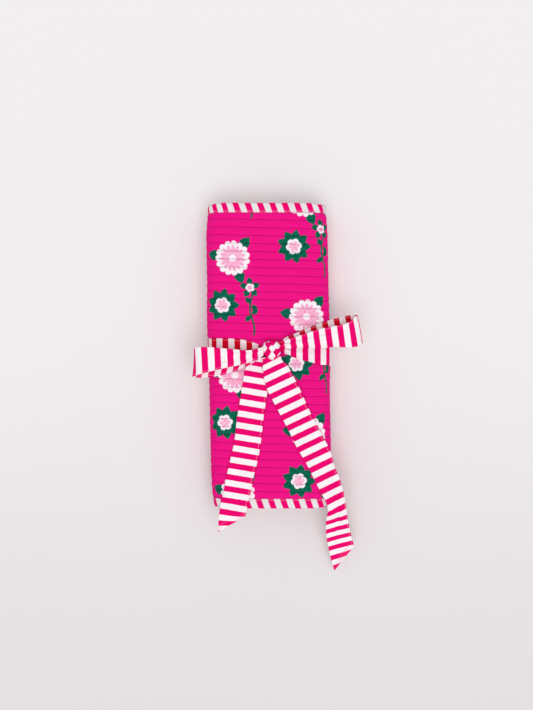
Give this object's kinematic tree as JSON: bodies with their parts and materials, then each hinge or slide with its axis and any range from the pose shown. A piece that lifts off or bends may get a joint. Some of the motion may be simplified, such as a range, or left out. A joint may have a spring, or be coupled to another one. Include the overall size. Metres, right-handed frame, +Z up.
{
  "type": "jewelry roll",
  "caption": "Quilted fabric jewelry roll, folded shut round zip pockets and a padded ring bar, with striped edge binding and a striped ribbon tied in a bow.",
  "frame": {"origin": "middle of the flat underside that the folded roll rests on", "axes": "+X across the folded roll, +Y along it, +Z up out of the face with the bow"},
  "size_m": [0.1331, 0.2966, 0.049],
  "materials": {
    "printed_cotton": "matte woven cotton, hot pink with a floral print",
    "batting": "soft matt wadding",
    "lining_cotton": "matte plain cotton, pale pink",
    "striped_binding": "matte cotton with pink and white stripes",
    "striped_ribbon": "matte cotton with pink and white stripes, redder on its reverse",
    "zip_tape": "matte woven tape",
    "zip_coil": "satin nylon",
    "brass": "polished"
  },
  "bodies": {
    "back_flap": {"back_flap_shell": "printed_cotton", "back_flap_batting": "batting", "back_flap_lining": "lining_cotton", "back_flap_binding_top": "striped_binding", "back_flap_binding_bottom": "striped_binding", "back_flap_end_binding": "striped_binding", "back_pocket": "lining_cotton", "back_zip_tape_left": "zip_tape", "back_zip_tape_right": "zip_tape", "back_zip_coil": "zip_coil", "tie_band_back": "striped_ribbon", "tie_tuck": "striped_ribbon"},
    "right_fold": {"right_fold_shell": "printed_cotton", "right_fold_batting": "batting", "right_fold_lining": "lining_cotton", "right_fold_binding_top": "striped_binding", "right_fold_binding_bottom": "striped_binding", "tie_band_right": "striped_ribbon"},
    "front_panel": {"front_panel_shell": "printed_cotton", "front_panel_batting": "batting", "front_panel_lining": "lining_cotton", "front_panel_binding_top": "striped_binding", "front_panel_binding_bottom": "striped_binding", "front_pocket": "lining_cotton", "front_zip_tape_left": "zip_tape", "front_zip_tape_right": "zip_tape", "front_zip_coil": "zip_coil", "tie_band_front_right": "striped_ribbon", "tie_band_front_left": "striped_ribbon", "bow_knot": "striped_ribbon", "bow_loop_left": "striped_ribbon", "bow_loop_right": "striped_ribbon", "bow_tail_left": "striped_ribbon", "bow_tail_right": "striped_ribbon"},
    "left_fold": {"left_fold_shell": "printed_cotton", "left_fold_batting": "batting", "left_fold_lining": "lining_cotton", "left_fold_binding_top": "striped_binding", "left_fold_binding_bottom": "striped_binding", "tie_band_left": "striped_ribbon"},
    "ring_flap": {"ring_flap_shell": "printed_cotton", "ring_flap_batting": "batting", "ring_flap_lining": "lining_cotton", "ring_flap_binding_top": "striped_binding", "ring_flap_binding_bottom": "striped_binding", "ring_flap_end_binding": "striped_binding", "ring_bar_cover": "lining_cotton", "ring_bar_core": "batting", "ring_bar_end": "lining_cotton", "ring_bar_anchor": "lining_cotton", "snap_stud": "brass"},
    "snap_tab": {"snap_strap": "lining_cotton", "snap_socket": "brass", "snap_cap": "brass"},
    "back_slider": {"back_zip_slider": "brass"},
    "back_pull": {"back_zip_pull": "brass"},
    "front_slider": {"front_zip_slider": "brass"},
    "front_pull": {"front_zip_pull": "brass"}
  },
  "joints": [
    {"name": "unroll", "type": "hinge", "parent": "back_flap", "child": "right_fold", "pos_m": [0.04469, 0, 0.00381], "axis": [0, 1, 0], "range_deg": [0, 90]},
    {"name": "front_crease", "type": "hinge", "parent": "right_fold", "child": "front_panel", "pos_m": [0.04469, 0, 0.03019], "axis": [0, 1, 0], "range_deg": [0, 90]},
    {"name": "left_crease", "type": "hinge", "parent": "front_panel", "child": "left_fold", "pos_m": [-0.04469, 0, 0.03019], "axis": [0, 1, 0], "range_deg": [0, 90]},
    {"name": "ring_crease", "type": "hinge", "parent": "left_fold", "child": "ring_flap", "pos_m": [-0.04469, 0, 0.01181], "axis": [0, 1, 0], "range_deg": [0, 90]},
    {"name": "unsnap", "type": "hinge", "parent": "ring_flap", "child": "snap_tab", "pos_m": [-0.02199, -0.0854, 0.0149], "axis": [-1, 0, 0], "range_deg": [0, 40]},
    {"name": "back_zip", "type": "slide", "parent": "back_flap", "child": "back_slider", "axis": [0, -1, 0], "range_m": [0, 0.19]},
    {"name": "back_pull_flip", "type": "hinge", "parent": "back_slider", "child": "back_pull", "pos_m": [0.026, 0.0953, 0.009], "axis": [-1, 0, 0], "range_deg": [0, 175]},
    {"name": "front_zip", "type": "slide", "parent": "front_panel", "child": "front_slider", "axis": [0, -1, 0], "range_m": [0, 0.19]},
    {"name": "front_pull_flip", "type": "hinge", "parent": "front_slider", "child": "front_pull", "pos_m": [0.012, 0.0953, 0.025], "axis": [1, 0, 0], "range_deg": [0, 175]}
  ],
  "couplings": [
    {"joint": "front_crease", "follows": "unroll", "ratio": 1},
    {"joint": "left_crease", "follows": "unroll", "ratio": 1},
    {"joint": "ring_crease", "follows": "unroll", "ratio": 1}
  ]
}
